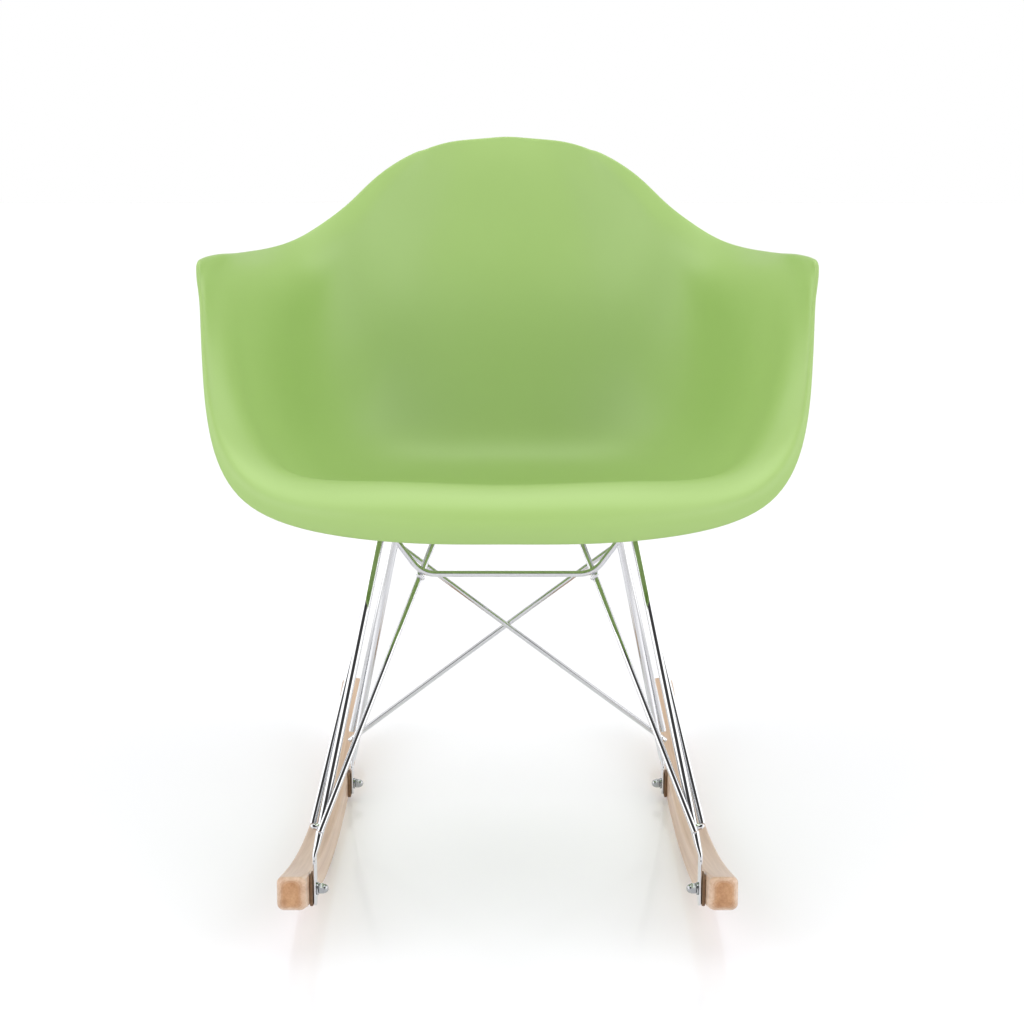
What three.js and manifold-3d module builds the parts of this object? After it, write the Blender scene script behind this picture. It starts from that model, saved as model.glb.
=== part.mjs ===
// Rocking chair: one moulded arm shell on a chromed rod base with two wooden rockers.
// Millimetres, +Z up. The chair faces -Y and X = 0 is its plane of symmetry. The pieces are
// laid out from the line where the rockers touch the floor; add() then moves them so that
// the origin is under the middle of the whole chair.
import * as THREE from 'three';
import Module from 'manifold-3d';
import { mergeVertices } from 'three/addons/utils/BufferGeometryUtils.js';

const wasm = await Module();
wasm.setup();

// ---------------------------------------------------------------- driving dimensions
const SHELL_THICKNESS = 4.5;
const GAP = 0.3;                 // clearance left between neighbouring pieces

const ROCKER_RADIUS = 1141;      // underside of the wood
const ROCKER_HEIGHT = 33;
const ROCKER_THICKNESS = 29;
const ROCKER_INNER_X = 195.5;
const ROCKER_FRONT = 361;        // reach in front of the floor contact
const ROCKER_REAR = 336;
const CONTACT_FLAT = 60;         // length of the flat facet that rests on the floor
const ORIGIN_SHIFT = (ROCKER_FRONT - ROCKER_REAR) / 2;

const LEG_RADIUS = 4.2;
const STRUT_RADIUS = 3.3;
const TAB_THICKNESS = 3;
const TAB_WIDTH = 17;
const PAD_THICKNESS = 2.8;

const BOLT_RADIUS = 3;
const BOLT_CLEARANCE = 0.35;
const COUNTERBORE_RADIUS = 8;
const COUNTERBORE_DEPTH = 6;

const PLATE_RADIUS = 25;
const PLATE_THICKNESS = 2.5;
const MOUNT_RADIUS = 23;
const MOUNT_THICKNESS = 11;

const FRONT_MOUNT = [118, -126];
const REAR_MOUNT = [106, 104];
const FRONT_BOLT = [-320, 63.5]; // y, z of the bolt axis
const REAR_BOLT = [90, 20.5];

// ---------------------------------------------------------------- small helpers
const vec = (x, y, z) => new THREE.Vector3(x, y, z);
const mirrored = (p) => vec(-p.x, p.y, p.z);
const along = (a, b, t) => a.clone().lerp(b, t);

function signedVolume(positions, index) {
  let total = 0;
  for (let i = 0; i < index.length; i += 3) {
    const a = positions[index[i]];
    const b = positions[index[i + 1]];
    const c = positions[index[i + 2]];
    total += a.dot(b.clone().cross(c)) / 6;
  }
  return total;
}

// A closed surface from points and triangles, turned so that it faces outward.
function solid(positions, index) {
  const faces = [...index];
  if (signedVolume(positions, faces) < 0) {
    for (let i = 0; i < faces.length; i += 3) {
      [faces[i + 1], faces[i + 2]] = [faces[i + 2], faces[i + 1]];
    }
  }
  const geometry = new THREE.BufferGeometry();
  geometry.setFromPoints(positions);
  geometry.setIndex(faces);
  geometry.computeVertexNormals();
  return geometry;
}

// Skins a row of rings (equal point counts) and closes both ends with fans.
function loft(rings) {
  const sides = rings[0].length;
  const positions = rings.flat();
  const index = [];
  for (let r = 0; r + 1 < rings.length; r += 1) {
    for (let s = 0; s < sides; s += 1) {
      const a = r * sides + s;
      const b = r * sides + ((s + 1) % sides);
      index.push(a, b, b + sides, a, b + sides, a + sides);
    }
  }
  for (const [ring, flip] of [[0, true], [rings.length - 1, false]]) {
    const centre = rings[ring].reduce((sum, p) => sum.add(p), vec(0, 0, 0)).divideScalar(sides);
    const hub = positions.push(centre) - 1;
    for (let s = 0; s < sides; s += 1) {
      const a = ring * sides + s;
      const b = ring * sides + ((s + 1) % sides);
      index.push(...(flip ? [hub, b, a] : [hub, a, b]));
    }
  }
  return solid(positions, index);
}

// A ring of points round a centre: half-axes a and b, squared off as power grows above 2.
function ringAt(centre, a, b, sides, power = 2) {
  const ring = [];
  for (let s = 0; s < sides; s += 1) {
    const angle = ((s + 0.5) / sides) * 2 * Math.PI;
    const c = Math.cos(angle);
    const d = Math.sin(angle);
    const u = Math.sign(c) * Math.abs(c) ** (2 / power);
    const v = Math.sign(d) * Math.abs(d) ** (2 / power);
    ring.push(centre.clone().addScaledVector(a, u).addScaledVector(b, v));
  }
  return ring;
}

// A round rod through a list of points.
function rod(points, radius, sides = 12) {
  const rings = [];
  let side = null;
  for (let i = 0; i < points.length; i += 1) {
    const before = points[Math.max(i - 1, 0)];
    const after = points[Math.min(i + 1, points.length - 1)];
    const tangent = after.clone().sub(before).normalize();
    if (side === null) {
      side = Math.abs(tangent.z) < 0.9 ? vec(0, 0, 1) : vec(0, 1, 0);
    }
    side = side.clone().addScaledVector(tangent, -side.dot(tangent)).normalize();
    const other = tangent.clone().cross(side);
    const a = side.clone().multiplyScalar(radius);
    rings.push(ringAt(points[i], a, other.multiplyScalar(radius), sides));
  }
  return loft(rings);
}

// Replaces each inner corner of a polyline by a short arc.
function rounded(corners, radius, steps = 5) {
  const path = [corners[0]];
  for (let i = 1; i + 1 < corners.length; i += 1) {
    const start = corners[i].clone().add(
      corners[i - 1].clone().sub(corners[i]).setLength(radius));
    const end = corners[i].clone().add(
      corners[i + 1].clone().sub(corners[i]).setLength(radius));
    const curve = new THREE.QuadraticBezierCurve3(start, corners[i], end);
    path.push(...curve.getPoints(steps));
  }
  path.push(corners[corners.length - 1]);
  return path;
}

function toManifold(geometry) {
  const plain = geometry.clone();
  plain.deleteAttribute('normal');
  plain.deleteAttribute('uv');
  const merged = mergeVertices(plain, 1e-4);
  const mesh = new wasm.Mesh({
    numProp: 3,
    vertProperties: new Float32Array(merged.attributes.position.array),
    triVerts: new Uint32Array(merged.index.array),
  });
  return new wasm.Manifold(mesh);
}

function fromManifold(manifold) {
  const mesh = manifold.getMesh();
  const geometry = new THREE.BufferGeometry();
  geometry.setAttribute('position', new THREE.BufferAttribute(mesh.vertProperties, 3));
  geometry.setIndex(new THREE.BufferAttribute(mesh.triVerts, 1));
  geometry.computeVertexNormals();
  return geometry;
}

const cut = (geometry, ...tools) => fromManifold(
  tools.reduce((body, tool) => body.subtract(toManifold(tool)), toManifold(geometry)));
const join = (first, ...others) => fromManifold(
  others.reduce((body, other) => body.add(toManifold(other)), toManifold(first)));

// A turned piece: profile of [radius, height] pairs, axis laid from base along direction.
function turned(profile, base, direction, segments = 18) {
  const lathe = new THREE.LatheGeometry(
    profile.map(([r, h]) => new THREE.Vector2(r, h)), segments);
  const turn = new THREE.Quaternion().setFromUnitVectors(vec(0, 1, 0), direction);
  lathe.applyQuaternion(turn);
  lathe.translate(base.x, base.y, base.z);
  return lathe;
}

const cylinder = (radius, from, to, base, direction, segments = 18) => turned(
  [[0, from], [radius, from], [radius, to], [0, to]], base, direction, segments);
const tube = (outer, inner, from, to, base, direction, segments = 18) => turned(
  [[inner, from], [outer, from], [outer, to], [inner, to], [inner, from]],
  base, direction, segments);

// ---------------------------------------------------------------- the pieces
const chair = new THREE.Group();
chair.name = 'rocking_chair';

const LOOKS = {
  plastic: { color: 0x8fbf5a, roughness: 0.5, metalness: 0 },
  chrome: { color: 0xd8dadc, roughness: 0.12, metalness: 1 },
  zinc: { color: 0xa9adb0, roughness: 0.35, metalness: 1 },
  wood: { color: 0xd9b48c, roughness: 0.5, metalness: 0 },
  fibre: { color: 0x4a2c1a, roughness: 0.8, metalness: 0 },
  rubber: { color: 0x1c1c1c, roughness: 0.9, metalness: 0 },
};

function add(name, geometry, look) {
  const placed = geometry.clone().translate(0, ORIGIN_SHIFT, 0);
  const mesh = new THREE.Mesh(placed, new THREE.MeshStandardMaterial(LOOKS[look]));
  mesh.name = name;
  chair.add(mesh);
}

// ---------------------------------------------------------------- arm shell
// Upper face of the shell. Each line is one lateral section of the right half, from the
// centre plane out to the side rim; the sections run from the front rim to the top rim.
const SECTIONS = [
  // front rim: lip, corner, front edge of the arm, arm tip
  [[0, -284, 404], [152, -272, 408], [264, -228, 436], [306, -180, 507.5],
    [314, -153, 596], [315, -145, 652], [315, -142, 670]],
  // face of the rolled edge
  [[0, -290, 428], [148, -277, 431], [252, -234, 450], [299, -184, 512],
    [309, -152, 598], [311, -137, 652], [312, -120, 673]],
  // crest of the roll
  [[0, -264, 453], [138, -251, 455], [238, -211, 463], [285, -164, 518],
    [301, -132, 605], [306, -109, 655], [306, -90, 674]],
  // front of the seat pan
  [[0, -188, 437], [124, -180, 438], [219, -153, 448], [268, -112, 507],
    [289, -84, 603], [295, -60, 655], [298, -36, 673]],
  // middle of the seat pan
  [[0, -62, 411], [112, -59, 412], [201, -50, 426], [249, -32, 490],
    [267, -9, 596], [275, 14, 650], [287, 32, 673]],
  // lowest part of the seat
  [[0, 58, 399], [106, 57, 402], [184, 54, 422], [228, 56, 484],
    [246, 68, 590], [254, 80, 648], [271, 92, 675]],
  // turn from the seat to the back
  [[0, 150, 423], [97, 144, 428], [166, 128, 452], [208, 116, 510],
    [227, 118, 604], [234, 126, 657], [247, 138, 683]],
  // lower back
  [[0, 190, 500], [82, 184, 503], [144, 169, 516], [182, 153, 560],
    [203, 151, 636], [211, 157, 679], [219, 168, 700]],
  // middle of the back
  [[0, 204, 610], [62, 200, 609], [114, 190, 608], [151, 177, 626],
    [173, 174, 679], [181, 181, 709], [186, 190, 726]],
  // upper back
  [[0, 227, 716], [45, 225, 714], [84, 220, 709], [113, 211, 712],
    [138, 204, 731], [147, 205, 746], [152, 210, 757]],
  // start of the rolled top
  [[0, 243, 773], [34, 242, 772], [62, 239, 769], [85, 233, 765],
    [107, 226, 764], [119, 222, 769], [125, 223, 774]],
  // top rim
  [[0, 256, 801], [29, 255, 799], [52, 252, 797], [72, 247, 794],
    [92, 240, 788], [102, 236, 784], [108, 233, 782]],
];
// Distances at which the sections and their points sit in the surface's own parameters.
const ACROSS_HALF = [0, 145, 245, 335, 425, 478, 505];
const ACROSS = [...ACROSS_HALF.slice(1).reverse().map((d) => -d), ...ACROSS_HALF];
const LENGTHWISE = [0, 24, 58, 135, 255, 368, 460, 545, 645, 742, 795, 825];

// Second derivatives of the natural cubic spline through (knots, values).
function splineBend(knots, values) {
  const count = knots.length;
  const bend = new Array(count).fill(0);
  const work = new Array(count).fill(0);
  for (let i = 1; i + 1 < count; i += 1) {
    const left = knots[i] - knots[i - 1];
    const right = knots[i + 1] - knots[i];
    const ratio = left / (left + right);
    const pivot = ratio * bend[i - 1] + 2;
    const slope = (values[i + 1] - values[i]) / right - (values[i] - values[i - 1]) / left;
    bend[i] = (ratio - 1) / pivot;
    work[i] = ((6 * slope) / (left + right) - ratio * work[i - 1]) / pivot;
  }
  for (let i = count - 2; i >= 0; i -= 1) {
    bend[i] = bend[i] * bend[i + 1] + work[i];
  }
  bend[count - 1] = 0;
  return bend;
}

function splineAt(knots, values, bend, t) {
  let i = 0;
  while (i + 2 < knots.length && t > knots[i + 1]) {
    i += 1;
  }
  const h = knots[i + 1] - knots[i];
  const a = (knots[i + 1] - t) / h;
  const b = 1 - a;
  const curve = (a ** 3 - a) * bend[i] + (b ** 3 - b) * bend[i + 1];
  return a * values[i] + b * values[i + 1] + (curve * h * h) / 6;
}

function splinePoint(knots, points, t) {
  const axes = ['x', 'y', 'z'].map((axis) => {
    const values = points.map((p) => p[axis]);
    return splineAt(knots, values, splineBend(knots, values), t);
  });
  return vec(...axes);
}

const FULL_SECTIONS = SECTIONS.map((half) => {
  const right = half.map(([x, y, z]) => vec(x, y, z));
  const left = right.slice(1).reverse().map(mirrored);
  return [...left, ...right];
});

function seatPoint(across, lengthwise) {
  const spine = FULL_SECTIONS.map((section) => splinePoint(ACROSS, section, across));
  return splinePoint(LENGTHWISE, spine, lengthwise);
}

// Unit normal on the underside of the shell (down at the seat, back at the backrest).
function undersideNormal(across, lengthwise) {
  const step = 0.5;
  const du = seatPoint(across + step, lengthwise).sub(seatPoint(across - step, lengthwise));
  const dv = seatPoint(across, lengthwise + step).sub(seatPoint(across, lengthwise - step));
  return dv.cross(du).normalize();
}

function shellGrid(columns, rows) {
  const acrossEnd = ACROSS_HALF[ACROSS_HALF.length - 1];
  const lengthEnd = LENGTHWISE[LENGTHWISE.length - 1];
  const crowding = 1.3;            // puts more rows into the rolled front edge
  const grid = [];
  for (let r = 0; r < rows; r += 1) {
    const lengthwise = lengthEnd * (r / (rows - 1)) ** crowding;
    const row = [];
    for (let c = 0; c < columns; c += 1) {
      const across = acrossEnd * ((2 * c) / (columns - 1) - 1);
      row.push([across, lengthwise]);
    }
    grid.push(row);
  }
  return grid;
}

function armShell() {
  const columns = 33;
  const rows = 40;
  const grid = shellGrid(columns, rows);
  const upper = grid.flat().map(([u, v]) => seatPoint(u, v));
  const lower = grid.flat().map(
    ([u, v], i) => upper[i].clone().addScaledVector(undersideNormal(u, v), SHELL_THICKNESS));
  const positions = [...upper, ...lower];
  const under = upper.length;
  const index = [];
  const quad = (a, b, c, d) => index.push(a, b, c, a, c, d);
  for (let r = 0; r + 1 < rows; r += 1) {
    for (let c = 0; c + 1 < columns; c += 1) {
      const a = r * columns + c;
      quad(a, a + 1, a + columns + 1, a + columns);
      quad(a + under, a + columns + under, a + columns + 1 + under, a + 1 + under);
    }
  }
  const rim = [];
  for (let c = 0; c + 1 < columns; c += 1) {
    rim.push([c, c + 1]);
    rim.push([(rows - 1) * columns + c + 1, (rows - 1) * columns + c]);
  }
  for (let r = 0; r + 1 < rows; r += 1) {
    rim.push([(r + 1) * columns, r * columns]);
    rim.push([r * columns + columns - 1, (r + 1) * columns + columns - 1]);
  }
  for (const [a, b] of rim) {
    quad(b, a, a + under, b + under);
  }
  return solid(positions, index);
}
add('arm_shell', armShell(), 'plastic');

// ---------------------------------------------------------------- mounts under the seat
// Finds the shell parameters above a floor position by Newton steps.
function shellAbove([x, y]) {
  let across = x * 1.15;
  let lengthwise = y + 310;
  for (let turn = 0; turn < 12; turn += 1) {
    const p = seatPoint(across, lengthwise);
    const du = seatPoint(across + 1, lengthwise).sub(p);
    const dv = seatPoint(across, lengthwise + 1).sub(p);
    const ex = x - p.x;
    const ey = y - p.y;
    const det = du.x * dv.y - du.y * dv.x;
    across += (ex * dv.y - ey * dv.x) / det;
    lengthwise += (du.x * ey - du.y * ex) / det;
  }
  const down = undersideNormal(across, lengthwise);
  const face = seatPoint(across, lengthwise).addScaledVector(down, SHELL_THICKNESS);
  return { face, down };
}

const SEAT_CLEARANCE = 0.9;      // the round seat would touch a flat disc nearer than this
const PLATE_TOP = SEAT_CLEARANCE + MOUNT_THICKNESS + GAP;
const PLATE_BOTTOM = PLATE_TOP + PLATE_THICKNESS;

const MOUNTS = {
  front: shellAbove(FRONT_MOUNT),
  rear: shellAbove(REAR_MOUNT),
};

// Height of a plane parallel to a mounting plate, drop millimetres under its lower face.
function underPlate(mount, x, y, drop) {
  const origin = mount.face.clone().addScaledVector(mount.down, PLATE_BOTTOM + drop);
  const n = mount.down;
  return origin.z - (n.x * (x - origin.x) + n.y * (y - origin.y)) / n.z;
}

for (const [place, mount] of Object.entries(MOUNTS)) {
  for (const side of ['left', 'right']) {
    const flip = side === 'left' ? -1 : 1;
    const base = vec(flip * mount.face.x, mount.face.y, mount.face.z);
    const down = vec(flip * mount.down.x, mount.down.y, mount.down.z);
    const hole = BOLT_RADIUS + BOLT_CLEARANCE;
    const bore = cylinder(hole, SEAT_CLEARANCE + 4, 40, base, down);
    const puck = turned([
      [0, SEAT_CLEARANCE], [MOUNT_RADIUS, SEAT_CLEARANCE],
      [MOUNT_RADIUS, SEAT_CLEARANCE + 2], [MOUNT_RADIUS - 4, SEAT_CLEARANCE + 5],
      [MOUNT_RADIUS - 4, PLATE_TOP - GAP], [0, PLATE_TOP - GAP],
    ], base, down, 24);
    add(`shock_mount_${place}_${side}`, cut(puck, bore), 'rubber');
    add(`mount_plate_${place}_${side}`,
      tube(PLATE_RADIUS, hole, PLATE_TOP, PLATE_BOTTOM, base, down, 24), 'chrome');
    const head = PLATE_BOTTOM + GAP;
    add(`mount_screw_${place}_${side}`, turned([
      [0, SEAT_CLEARANCE + 5], [BOLT_RADIUS, SEAT_CLEARANCE + 5], [BOLT_RADIUS, head],
      [6, head], [6, head + 2], [4.5, head + 3.6], [0, head + 3.6],
    ], base, down), 'zinc');
  }
}

// ---------------------------------------------------------------- rod base, right half
const TAB_X = ROCKER_INNER_X - GAP - PAD_THICKNESS - GAP - TAB_THICKNESS / 2;
const RAIL_DROP = STRUT_RADIUS + GAP;
const LEG_DROP = LEG_RADIUS + 1.2;

const frontLegLow = vec(185.6, -307, 121);
const frontLegHigh = vec(131.9, -150, 391);
const rearLegLow = vec(188.4, 90.4, 60);
const rearLegHigh = vec(126, 100.7, 366);

// Carries a leg on until it meets the underside of its mounting plate.
function legTop(low, high, mount) {
  let top = high.clone();
  for (let turn = 0; turn < 6; turn += 1) {
    const z = underPlate(mount, top.x, top.y, LEG_DROP);
    top = along(low, high, (z - low.z) / (high.z - low.z));
  }
  return top;
}
const frontLegTop = legTop(frontLegLow, frontLegHigh, MOUNTS.front);
const rearLegTop = legTop(rearLegLow, rearLegHigh, MOUNTS.rear);

// A leg: round rod that bends into a flat upright tab lying against the rocker.
function leg(top, low, bolt, tabTop, tabBottom) {
  const [boltY] = bolt;
  const run = low.clone().sub(top).normalize();
  const sideways = vec(0, 1, 0).addScaledVector(run, -run.y).normalize();
  const across = run.clone().cross(sideways);
  const round = (p) => ringAt(p, across.clone().multiplyScalar(LEG_RADIUS),
    sideways.clone().multiplyScalar(LEG_RADIUS), 16);
  const sign = Math.sign(across.x);
  const flat = (z, halfWidth, halfThickness, power) => ringAt(vec(TAB_X, boltY, z),
    vec(sign * halfThickness, 0, 0), vec(0, halfWidth, 0), 16, power);
  const half = TAB_WIDTH / 2;
  const neck = along(low, vec(TAB_X, boltY, tabTop), 0.55);
  return loft([
    round(top),
    round(along(top, low, 0.5)),
    round(low),
    ringAt(neck, vec(sign * 3.4, 0, 0), vec(0, 5.2, 0), 16, 2.2),
    flat(tabTop, 6.6, 2.1, 2.6),
    flat(tabTop - 7, half, TAB_THICKNESS / 2, 4),
    flat(tabBottom + 5, half, TAB_THICKNESS / 2, 4),
    flat(tabBottom + 1.5, half - 3, TAB_THICKNESS / 2, 4),
    flat(tabBottom, half - 6, TAB_THICKNESS / 2, 4),
  ]);
}

const LEGS = {
  front: leg(frontLegTop, frontLegLow, FRONT_BOLT, 98, 47),
  rear: leg(rearLegTop, rearLegLow, REAR_BOLT, 46, 8),
};

function mirrorGeometry(geometry) {
  const copy = geometry.clone();
  copy.scale(-1, 1, 1);
  const index = copy.index.array.slice();
  for (let i = 0; i < index.length; i += 3) {
    [index[i + 1], index[i + 2]] = [index[i + 2], index[i + 1]];
  }
  copy.setIndex(new THREE.BufferAttribute(index, 1));
  copy.computeVertexNormals();
  return copy;
}

function addPair(name, geometry, look) {
  add(`${name}_right`, geometry, look);
  add(`${name}_left`, mirrorGeometry(geometry), look);
}

const outward = vec(1, 0, 0);
const BOLTS = { front: FRONT_BOLT, rear: REAR_BOLT };
for (const [place, [y, z]] of Object.entries(BOLTS)) {
  const hole = cylinder(BOLT_RADIUS + BOLT_CLEARANCE, -12, 12, vec(TAB_X, y, z), outward);
  addPair(`${place}_leg`, cut(LEGS[place], hole), 'chrome');
}

// Cross bar under the front of the seat: level in the middle, rising to both front legs.
const barLevel = vec(91, -150, 343.5);
const barEnd = vec(121.5, -149.5, 386);
const barPath = rounded(
  [mirrored(barEnd), mirrored(barLevel), barLevel, barEnd], 14);
add('front_cross_bar', rod(barPath, STRUT_RADIUS), 'chrome');

// Top rails, just under the mounting plates.
const frontRailY = -106;
const rearRailY = 124;
const frontRailEnd = vec(121, frontRailY, 0);
frontRailEnd.z = underPlate(MOUNTS.front, 100, frontRailY, RAIL_DROP);
const rearRailEnd = vec(114, rearRailY, 0);
rearRailEnd.z = underPlate(MOUNTS.rear, 90, rearRailY, RAIL_DROP);
add('front_rail', rod([mirrored(frontRailEnd), frontRailEnd], STRUT_RADIUS), 'chrome');
add('rear_rail', rod([mirrored(rearRailEnd), rearRailEnd], STRUT_RADIUS), 'chrome');

const railJoint = 2 * STRUT_RADIUS + GAP;
const sideRailFront = vec(112, frontRailY + railJoint, frontRailEnd.z - 1);
const sideRailRear = vec(101, 86, 0);
sideRailRear.z = underPlate(MOUNTS.rear, 101, 86, RAIL_DROP + 0.6);
addPair('side_rail', rod([sideRailFront, sideRailRear], STRUT_RADIUS), 'chrome');

// Struts from the foot of each front leg. Each crosses in front of its leg, touching it, and
// runs up behind the cross bar to the front rail.
const frontStrutBar = vec(92.6, -142.9, 339.7);
const crossingZ = 139;
const legCrossing = along(frontLegLow, frontLegHigh,
  (crossingZ - frontLegLow.z) / (frontLegHigh.z - frontLegLow.z));
const legRun = frontLegHigh.clone().sub(frontLegLow).normalize();
let strutCrossing = legCrossing.clone();
for (let turn = 0; turn < 4; turn += 1) {
  const run = frontStrutBar.clone().sub(strutCrossing).normalize();
  const forward = run.cross(legRun).normalize();
  forward.multiplyScalar(-Math.sign(forward.y));
  strutCrossing = legCrossing.clone().addScaledVector(
    forward, LEG_RADIUS + STRUT_RADIUS + GAP);
}
const strutRise = frontStrutBar.z - strutCrossing.z;
const frontStrutFoot = along(strutCrossing, frontStrutBar, -20 / strutRise);
const frontStrutTop = along(strutCrossing, frontStrutBar,
  (frontRailEnd.z - 7 - strutCrossing.z) / strutRise);
addPair('front_strut', rod([frontStrutFoot, frontStrutTop], STRUT_RADIUS), 'chrome');

const frontSideFoot = vec(193.8, -304.4, 124.5);
const frontSideTop = vec(130, -112, 0);
frontSideTop.z = underPlate(MOUNTS.front, 130, -112, RAIL_DROP + 2);
addPair('front_side_strut', rod([frontSideFoot, frontSideTop], STRUT_RADIUS), 'chrome');

const rearSideFoot = vec(191.4, 92.5, 86);
const rearSideTop = vec(122.5, 126, 0);
rearSideTop.z = underPlate(MOUNTS.rear, 122, 112, RAIL_DROP + 2);
addPair('rear_side_strut', rod([rearSideFoot, rearSideTop], STRUT_RADIUS), 'chrome');

// The two diagonal braces behind the rear legs bow apart a little where they cross.
function brace(flip, bow) {
  const foot = vec(flip * 195, 98.8, 72);
  const head = vec(flip * -138, 108.6, 322);
  const points = [];
  const steps = 12;
  for (let i = 0; i <= steps; i += 1) {
    const t = i / steps;
    const p = along(foot, head, t);
    p.y += bow * 4 * t * (1 - t);
    points.push(p);
  }
  return rod(points, STRUT_RADIUS);
}
const CROSSING_BOW = STRUT_RADIUS + GAP;
add('rear_brace_right', brace(1, -CROSSING_BOW), 'chrome');
add('rear_brace_left', brace(-1, CROSSING_BOW), 'chrome');

// ---------------------------------------------------------------- rockers
// Side outline of the rocker: arc band with rounded ends, [y, z] pairs.
function rockerOutline() {
  const facets = 15;
  const flat = CONTACT_FLAT / 2;
  const under = (y) => ROCKER_RADIUS - Math.sqrt(ROCKER_RADIUS ** 2 - y ** 2);
  const floor = under(flat);
  const topRadius = ROCKER_RADIUS - ROCKER_HEIGHT;
  const over = (y) => ROCKER_RADIUS - Math.sqrt(topRadius ** 2 - y ** 2);
  const outline = [];
  for (let i = facets; i >= 0; i -= 1) {
    const y = -flat - ((ROCKER_FRONT - 4 - flat) * i) / facets;
    outline.push([y, under(y) - floor]);
  }
  for (let i = 0; i <= facets; i += 1) {
    const y = flat + ((ROCKER_REAR - 4 - flat) * i) / facets;
    outline.push([y, under(y) - floor]);
  }
  outline.push([ROCKER_REAR, under(ROCKER_REAR) + 5 - floor]);
  outline.push([ROCKER_REAR - 2, over(ROCKER_REAR) - 5 - floor]);
  for (let i = 0; i <= 2 * facets; i += 1) {
    const y = ROCKER_REAR - 7 - ((ROCKER_REAR + ROCKER_FRONT - 14) * i) / (2 * facets);
    outline.push([y, over(y) - floor]);
  }
  outline.push([-ROCKER_FRONT + 2, over(ROCKER_FRONT) - 5 - floor]);
  outline.push([-ROCKER_FRONT, under(ROCKER_FRONT) + 5 - floor]);
  return outline;
}

function rocker() {
  const bevel = 2.6;
  const outline = rockerOutline();
  const shape = new THREE.Shape(outline.map(([y, z]) => new THREE.Vector2(y, z)));
  const geometry = new THREE.ExtrudeGeometry(shape, {
    depth: ROCKER_THICKNESS - 2 * bevel,
    bevelEnabled: true,
    bevelThickness: bevel,
    bevelSize: bevel,
    bevelOffset: -bevel,
    bevelSegments: 2,
  });
  // shape x -> world Y, shape y -> world Z, extrusion -> world X
  const turn = new THREE.Matrix4().makeBasis(vec(0, 1, 0), vec(0, 0, 1), vec(1, 0, 0));
  geometry.applyMatrix4(turn);
  geometry.translate(ROCKER_INNER_X + bevel, 0, 0);
  return geometry;
}

const rockerHoles = [];
for (const [y, z] of Object.values(BOLTS)) {
  const start = vec(ROCKER_INNER_X, y, z);
  rockerHoles.push(cylinder(BOLT_RADIUS + BOLT_CLEARANCE, -2, ROCKER_THICKNESS + 2, start, outward));
  rockerHoles.push(cylinder(COUNTERBORE_RADIUS, ROCKER_THICKNESS - COUNTERBORE_DEPTH,
    ROCKER_THICKNESS + 2, start, outward));
}
addPair('rocker', cut(rocker(), ...rockerHoles), 'wood');

// ---------------------------------------------------------------- pads and fasteners
const WASHER_THICKNESS = 1.5;
const NUT_HEX = 5.75;             // corner radius of the hexagon
const NUT_HEX_HEIGHT = 5;
const NUT_HEIGHT = 9.5;

function padGeometry([y, z], height, width) {
  const half = width / 2;
  const corner = 5;
  const shape = new THREE.Shape();
  shape.moveTo(-half + corner, -height / 2);
  shape.lineTo(half - corner, -height / 2);
  shape.lineTo(half, -height / 2 + corner);
  shape.lineTo(half, height / 2 - corner);
  shape.lineTo(half - corner, height / 2);
  shape.lineTo(-half + corner, height / 2);
  shape.lineTo(-half, height / 2 - corner);
  shape.lineTo(-half, -height / 2 + corner);
  shape.closePath();
  const hole = new THREE.Path();
  hole.absarc(0, 0, BOLT_RADIUS + BOLT_CLEARANCE, 0, 2 * Math.PI, true);
  shape.holes.push(hole);
  const geometry = new THREE.ExtrudeGeometry(shape, {
    depth: PAD_THICKNESS, bevelEnabled: false, curveSegments: 20,
  });
  const turn = new THREE.Matrix4().makeBasis(vec(0, 1, 0), vec(0, 0, 1), vec(1, 0, 0));
  geometry.applyMatrix4(turn);
  geometry.translate(ROCKER_INNER_X - GAP - PAD_THICKNESS, y, z);
  return mergeVertices(geometry, 1e-4);
}

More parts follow.
